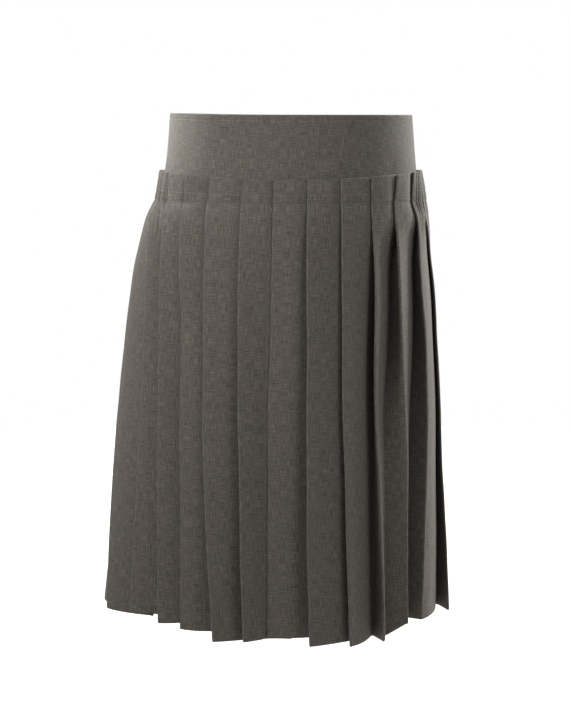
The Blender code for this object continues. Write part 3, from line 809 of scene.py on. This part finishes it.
def make_yoke(material):
    """Front yoke and the two back halves, with a rounded and understitched waist edge."""
    z, inset = yoke_profile()
    for name, start, end in YOKE_PIECES:
        gap = SEAM_GAP / 2 / float(girth_rate(YOKE, 0.0, np.array(start * QUARTER)))
        angle = np.linspace(start * QUARTER + gap, end * QUARTER - gap,
                            (end - start) * QUARTER_STEPS + 1)
        points = yoke_points(*np.broadcast_arrays(z[:, None], inset[:, None], angle))
        rows, columns = len(z), len(angle)
        faces = grid_faces(rows, columns, flip=True)
        column = np.arange(columns - 1)
        below = (rows - 1) * columns + column
        close = np.column_stack([below, below + 1, column + 1, column])
        caps = [(np.arange(rows) * columns).tolist(),
                (np.arange(rows)[::-1] * columns + columns - 1).tolist()]
        girth = path_lengths(points[0])
        uv = np.stack([np.broadcast_to(girth, (rows, columns)), points[:, :, 2]], axis=2)
        smooth = np.ones(len(faces) + len(close) + 2, bool)
        smooth[-2:] = False
        made = add_object(name + "_cloth", points.reshape(-1, 3),
                          faces.tolist() + close.tolist() + caps, material, uv.reshape(-1, 2), smooth)
        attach(made, "skirt")
        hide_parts(name)


# Stitches

def capsule():
    """Points and quads of a thread's short piece: a tube, with ends that narrow and dip."""
    stations = np.array([-0.5, -0.42, 0.0, 0.42, 0.5])
    radius = np.array([0.35, 0.85, 1.0, 0.85, 0.35])
    dip = np.array([-1.6, -0.5, 0.15, -0.5, -1.6])
    turns = np.linspace(0, 2 * np.pi, THREAD_SIDES + 1)[:-1]
    along = np.repeat(stations, THREAD_SIDES)
    out = (np.cos(turns)[None, :] * radius[:, None] + dip[:, None]).ravel()
    side = (np.sin(turns)[None, :] * radius[:, None]).ravel()
    return along, out, side, ring_faces(len(stations), THREAD_SIDES)


def stitches_on(paths, pitch, length):
    """Middles, directions and outward normals of stitches evenly spaced along some paths."""
    found = []
    for points, normals in paths:
        girth = path_lengths(points)
        room = STITCH_END_ROOM * length
        places = np.arange(room, girth[-1] - room, pitch)
        if len(places) == 0:
            continue
        ends = [np.column_stack([np.interp(places + side * length / 2, girth, points[:, k])
                                 for k in range(3)]) for side in (-1, 1)]
        out = np.column_stack([np.interp(places, girth, normals[:, k]) for k in range(3)])
        found.append(((ends[0] + ends[1]) / 2, ends[1] - ends[0], out))
    return [np.concatenate(part) for part in zip(*found)]


def add_stitches(name, paths, material, pitch=STITCH_PITCH, length=STITCH, radius=THREAD):
    """One mesh of all the stitches along some paths."""
    middle, along, out = stitches_on(paths, pitch, length)
    along = along / np.linalg.norm(along, axis=1, keepdims=True)
    out = out - np.sum(out * along, axis=1, keepdims=True) * along
    out = out / np.linalg.norm(out, axis=1, keepdims=True)
    side = np.cross(along, out)
    place, lift, across, quads = capsule()
    vertices = (middle[:, None] + along[:, None] * (place * length)[:, None]
                + out[:, None] * (lift * radius)[:, None]
                + side[:, None] * (across * radius)[:, None])
    faces = quads[None] + (np.arange(len(middle)) * len(place))[:, None, None]
    made = add_object(name, vertices.reshape(-1, 3), faces.reshape(-1, 4), material)
    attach(made, "skirt")


def make_stitches(faces, material):
    """Two rows all round the heading, the understitching of the waist and the hem's marks."""
    for name, values, place, *sizes in (
            ("stitches_upper_row", LEVELS.z, UPPER_ROW),
            ("stitches_lower_row", LEVELS.z, LOWER_ROW),
            ("stitches_hem", LEVELS.share, HEM_TURN_SHARE, HEM_MARK_PITCH, HEM_MARK, HEM_THREAD)):
        row = int(np.argmin(np.abs(values - place)))
        paths = [(points[row], normals[row]) for points, normals in faces]
        add_stitches(name, paths, material, *sizes)
    paths = []
    for _, start, end in YOKE_PIECES:
        angle = np.linspace(start * QUARTER, end * QUARTER, 2 * QUARTER_STEPS + 1)[None, :]
        z = 0 * angle - UNDERSTITCH_DROP
        points = yoke_points(z, 0 * z, angle)[0]
        outer = yoke_points(z, 0 * z - MM, angle)[0]
        paths.append((points, (outer - points) / MM))
    add_stitches("stitches_waist", paths, material)


# Zip

def tape_line(rows):
    """Centre across, half width of the body and depth of the tape's back at some heights.

    It lies inside the yoke's wall down to the yoke's end, and from there straight to its own end.
    """
    z = np.array([TAPE_TOP] + [row.z * MM for row in YOKE[1:]] + [ZIP_END])
    centre, width, _, depth = section(YOKE, z)
    depth = depth - YOKE_WALL - SEAM_GAP
    centre[-1], width[-1], _, low_depth = section(SKIRT, ZIP_END)
    depth[-1] = low_depth - PLEAT_INSIDE - TAPE_SET_IN
    return [np.interp(rows, z[::-1], values[::-1]) for values in (centre, width, depth)]


def make_zip(tape_material, coil_material, metal):
    """Woven tape with its coil inside the centre back, and the slider and pull with round edges.

    The tape bends with the oval body. The coil winds round an upright line just inside it.
    """
    rows = np.linspace(TAPE_TOP, ZIP_END, 60)
    across = np.linspace(TAPE_WIDTH / 2, -TAPE_WIDTH / 2, 17)
    centre, width, depth = tape_line(rows)
    x = centre[:, None] + across
    z = rows[:, None] + 0 * x
    bend = depth[:, None] * (1 - np.sqrt(1 - (across / width[:, None]) ** 2))
    points = np.stack([x, depth[:, None] - TAPE_WALL / 2 - bend, z], axis=2)
    tape = add_wall("zip_tape_woven", points, TAPE_HALF, tape_material, np.stack([x, z], axis=2))
    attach(tape, "skirt")
    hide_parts("zip_tape")
    t = np.linspace(0, 1, COIL_TURNS * 10)
    path_z = COIL_TOP + (COIL_END - COIL_TOP) * t
    inner = np.interp(path_z, rows[::-1], (depth - TAPE_WALL - COIL_STANDS_OFF)[::-1])
    path_centre = np.interp(path_z, rows[::-1], centre[::-1])
    spin = 2 * np.pi * COIL_TURNS * t
    path = np.column_stack([path_centre + COIL_WIDTH * np.cos(spin),
                            inner + COIL_DEPTH * np.sin(spin), path_z])
    add_tube("zip_coil", path, COIL_THREAD, coil_material)
    for name in ("zip_slider", "zip_pull"):
        metal_part = bpy.data.objects[name]
        metal_part.data.materials.clear()
        metal_part.data.materials.append(metal)
        bevel = metal_part.modifiers.new("round edges", "BEVEL")
        bevel.width = METAL_EDGE
        bevel.segments = 3
        bevel.limit_method = "ANGLE"


def add_tube(name, path, radius, material):
    """Tube along a path, round in section."""
    along = np.gradient(path, axis=0)
    along /= np.linalg.norm(along, axis=1, keepdims=True)
    first = np.cross(along, np.array([0.0, 0.0, 1.0]))
    first /= np.linalg.norm(first, axis=1, keepdims=True)
    second = np.cross(along, first)
    turns = np.linspace(0, 2 * np.pi, THREAD_SIDES + 1)[:-1]
    points = (path[:, None] + radius * (np.cos(turns)[None, :, None] * first[:, None]
                                        + np.sin(turns)[None, :, None] * second[:, None]))
    faces = ring_faces(len(path), THREAD_SIDES)
    made = add_object(name, points.reshape(-1, 3), faces, material)
    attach(made, "skirt")


# Materials

def linear(colour):
    """Linear colour of an sRGB hex code."""
    values = np.array([int(colour[i:i + 2], 16) for i in (1, 3, 5)]) / 255
    flat = np.where(values <= 0.04045, values / 12.92, ((values + 0.055) / 1.055) ** 2.4)
    return (*flat.tolist(), 1.0)


def set_inputs(tree, made, inputs):
    """Sets inputs of a shader node. Each is a value, or an output to link to it."""
    for name, value in inputs.items():
        socket = made.inputs[name]
        if isinstance(value, bpy.types.NodeSocket):
            tree.links.new(value, socket)
        else:
            socket.default_value = value


def node(tree, kind, inputs=None, **settings):
    """Adds a shader node with its inputs and settings."""
    made = tree.nodes.new(kind)
    for name, value in settings.items():
        setattr(made, name, value)
    set_inputs(tree, made, inputs or {})
    return made


def new_material(name):
    """Empty node material, its tree and its Principled shader."""
    material = bpy.data.materials.new(name)
    material.use_nodes = True
    return material, material.node_tree, material.node_tree.nodes["Principled BSDF"]


def streaks(tree, coordinates, across, down, detail=2.0):
    """Noise stretched in two directions. across and down are the size of its grains."""
    scaled = node(tree, "ShaderNodeVectorMath", {0: coordinates, 1: (1 / across, 1 / down, 1.0)},
                  operation="MULTIPLY").outputs[0]
    return node(tree, "ShaderNodeTexNoise", {"Vector": scaled, "Scale": 1.0, "Detail": detail},
                noise_dimensions="2D").outputs["Fac"]


def object_noise(tree, grain, detail=2.0):
    """Noise in the object's own place. grain is the size of its grains."""
    place = node(tree, "ShaderNodeTexCoord").outputs["Object"]
    return node(tree, "ShaderNodeTexNoise",
                {"Vector": place, "Scale": 1 / grain, "Detail": detail}).outputs["Fac"]


def bumped(tree, height, strength, distance):
    """Normal of a surface with a small relief."""
    return node(tree, "ShaderNodeBump", {"Height": height, "Strength": strength,
                                         "Distance": distance}).outputs["Normal"]


def mix(tree, factor, first, second, blend="MIX"):
    """Two colours mixed by a factor."""
    return node(tree, "ShaderNodeMix", {"Factor": factor, 6: first, 7: second},
                data_type="RGBA", blend_type=blend).outputs[2]


def blend_of(tree, parts):
    """Sum of some values, each times its weight."""
    total = None
    for value, weight in parts:
        total = node(tree, "ShaderNodeMath",
                     {0: value, 1: weight, 2: 0.0 if total is None else total},
                     operation="MULTIPLY_ADD").outputs[0]
    return total


def wool(name, dark, middle, light, warm, cool):
    """Melange wool suiting: warp and weft of mixed fibres, dull, with a little fuzz.

    Its yarns keep their shade for a way, so that light and dark ones cross, and a fine fibre grain
    and soft warm and cool flecks lie over them.
    """
    material, tree, shader = new_material(name)
    uv = node(tree, "ShaderNodeUVMap", uv_map="cloth").outputs[0]
    warp = streaks(tree, uv, YARN, YARN_RUN, 1.0)
    weft = streaks(tree, uv, YARN_RUN, YARN, 1.0)
    grain = streaks(tree, uv, FIBRE_GRAIN, FIBRE_GRAIN, 2.0)
    mixed = blend_of(tree, [(warp, 0.32), (weft, 0.28), (grain, 0.4)])
    ramp = node(tree, "ShaderNodeValToRGB", {"Fac": mixed})
    stops = ramp.color_ramp.elements
    stops.new(0.5)
    for stop, place, colour in zip(stops, (0.32, 0.5, 0.68), (dark, middle, light)):
        stop.position = place
        stop.color = linear(colour)
    threads = blend_of(tree, [(streaks(tree, uv, FINE_YARN, FINE_RUN), 0.5),
                              (streaks(tree, uv, FINE_RUN, FINE_YARN), 0.5)])
    flecks = streaks(tree, uv, FLECK_WIDTH, FLECK_HEIGHT, 2.0)
    tints = mix(tree, flecks, linear(warm), linear(cool))
    set_inputs(tree, shader, {
        "Base Color": mix(tree, 0.3, ramp.outputs["Color"], tints, "SOFT_LIGHT"),
        "Normal": bumped(tree, threads, 0.5, 0.15 * MM),
        "Roughness": 0.85,
        "Specular IOR Level": 0.3,
        "IOR": 1.54,
        "Sheen Weight": 0.12,
        "Sheen Roughness": 0.45,
        "Sheen Tint": linear("#e9e2da"),
    })
    return material


def thread(name, colour):
    """Spun polyester sewing thread, its twist as a fine bump in the object's own place."""
    material, tree, shader = new_material(name)
    twist = object_noise(tree, TWIST, 1.0)
    set_inputs(tree, shader, {
        "Base Color": linear(colour),
        "Normal": bumped(tree, twist, 0.4, 0.05 * MM),
        "Roughness": 0.6,
        "IOR": 1.5,
    })
    return material


def tape_weave(name, colour, dark):
    """Flat woven polyester tape, ribbed across every 1.2 mm."""
    material, tree, shader = new_material(name)
    uv = node(tree, "ShaderNodeUVMap", uv_map="cloth").outputs[0]
    ribs = node(tree, "ShaderNodeTexWave", {"Vector": uv, "Scale": TAPE_RIBS, "Distortion": 0.6},
                bands_direction="Y").outputs["Fac"]
    grain = streaks(tree, uv, FIBRE_GRAIN, FIBRE_GRAIN, 1.0)
    mixed = blend_of(tree, [(ribs, 0.6), (grain, 0.4)])
    set_inputs(tree, shader, {
        "Base Color": mix(tree, mixed, linear(dark), linear(colour)),
        "Normal": bumped(tree, mixed, 0.6, 0.12 * MM),
        "Roughness": 0.75,
        "IOR": 1.55,
    })
    return material


def enamel(name, colour, worn):
    """Satin enamel on zinc, a little rubbed, so that the roughness and colour change slightly."""
    material, tree, shader = new_material(name)
    rub = object_noise(tree, RUB, 3.0)
    rough = node(tree, "ShaderNodeMapRange", {"Value": rub, "To Min": 0.3, "To Max": 0.5})
    set_inputs(tree, shader, {
        "Base Color": mix(tree, rub, linear(colour), linear(worn)),
        "Roughness": rough.outputs[0],
        "Metallic": 0.6,
        "IOR": 1.5,
    })
    return material


def plain_floor(name, colour):
    """Matt pale paper, with a grain too fine to draw the eye."""
    material, tree, shader = new_material(name)
    grain = object_noise(tree, PAPER_GRAIN)
    bump = node(tree, "ShaderNodeBump", {"Height": grain, "Strength": 0.05})
    set_inputs(tree, shader, {
        "Base Color": linear(colour),
        "Normal": bump.outputs["Normal"],
        "Roughness": 0.9,
    })
    return material


# Stage

def add_lamp(lamp):
    """Square soft light that faces a point. Its spread is the angle of its beam in degrees."""
    light = bpy.data.lights.new(lamp.name, "AREA")
    light.energy = lamp.power
    light.size = lamp.size
    light.spread = np.radians(lamp.spread)
    made = bpy.data.objects.new(lamp.name, light)
    made.location = lamp.place
    aim = np.array(lamp.target) - np.array(lamp.place)
    made.rotation_euler = (np.arctan2(np.hypot(aim[0], aim[1]), -aim[2]), 0.0,
                           np.arctan2(-aim[0], aim[1]))
    bpy.context.scene.collection.objects.link(made)


def make_world():
    """White backdrop behind the skirt and a dimmer room in front, as in a studio."""
    world = bpy.data.worlds.new("studio")
    bpy.context.scene.world = world
    world.use_nodes = True
    tree = world.node_tree
    direction = node(tree, "ShaderNodeTexCoord").outputs["Generated"]
    back = node(tree, "ShaderNodeSeparateXYZ", {"Vector": direction}).outputs["Y"]
    strength = node(tree, "ShaderNodeMapRange",
                    {"Value": back, "From Min": ROOM_EDGE, "From Max": BACKDROP_EDGE,
                     "To Min": ROOM_LIGHT, "To Max": 1.0},
                    interpolation_type="SMOOTHSTEP").outputs[0]
    white = (1.0, 1.0, 1.0, 1.0)
    set_inputs(tree, tree.nodes["Background"], {"Color": white, "Strength": strength})


def make_stage():
    """Pale floor, lights and camera."""
    corners = [(-FLOOR_SIDE, FLOOR_FRONT, FLOOR), (FLOOR_SIDE, FLOOR_FRONT, FLOOR),
               (FLOOR_SIDE, FLOOR_BACK, FLOOR), (-FLOOR_SIDE, FLOOR_BACK, FLOOR)]
    floor = add_object("floor", corners, [(0, 1, 2, 3)], plain_floor("pale_paper", "#f4f3f1"))
    make_world()
    for lamp in LAMPS:
        add_lamp(lamp)
    camera = bpy.data.cameras.new("camera")
    camera.lens = CAMERA_LENS
    camera.sensor_width = CAMERA_SENSOR
    holder = bpy.data.objects.new("camera", camera)
    holder.location = CAMERA_PLACE
    holder.rotation_euler = (np.radians(CAMERA_TILT), 0.0, 0.0)
    bpy.context.scene.collection.objects.link(holder)
    bpy.context.scene.camera = holder
    bpy.context.scene.view_settings.view_transform = "Standard"


def main():
    """The skirt and its stage, cloth first."""
    cloth = wool("grey_melange_wool_suiting", "#322f2b", "#4c4843", "#6b645c", "#c9c3a4", "#b7b3cc")
    # The sewing thread's grey is set lighter than the cloth: partly the thread's own colour, partly a
    # painted glint for the sparkle of its stitches.
    sewing_thread_painted_glint = thread("grey_sewing_thread", "#645e57")
    faces = make_pleats(cloth)
    make_yoke(cloth)
    make_stitches(faces, sewing_thread_painted_glint)
    make_zip(tape_weave("woven_zip_tape", "#3f3a37", "#24211f"),
             thread("nylon_zip_coil", "#3a3633"), enamel("enamelled_zinc", "#3b3734", "#57524d"))
    make_stage()


main()
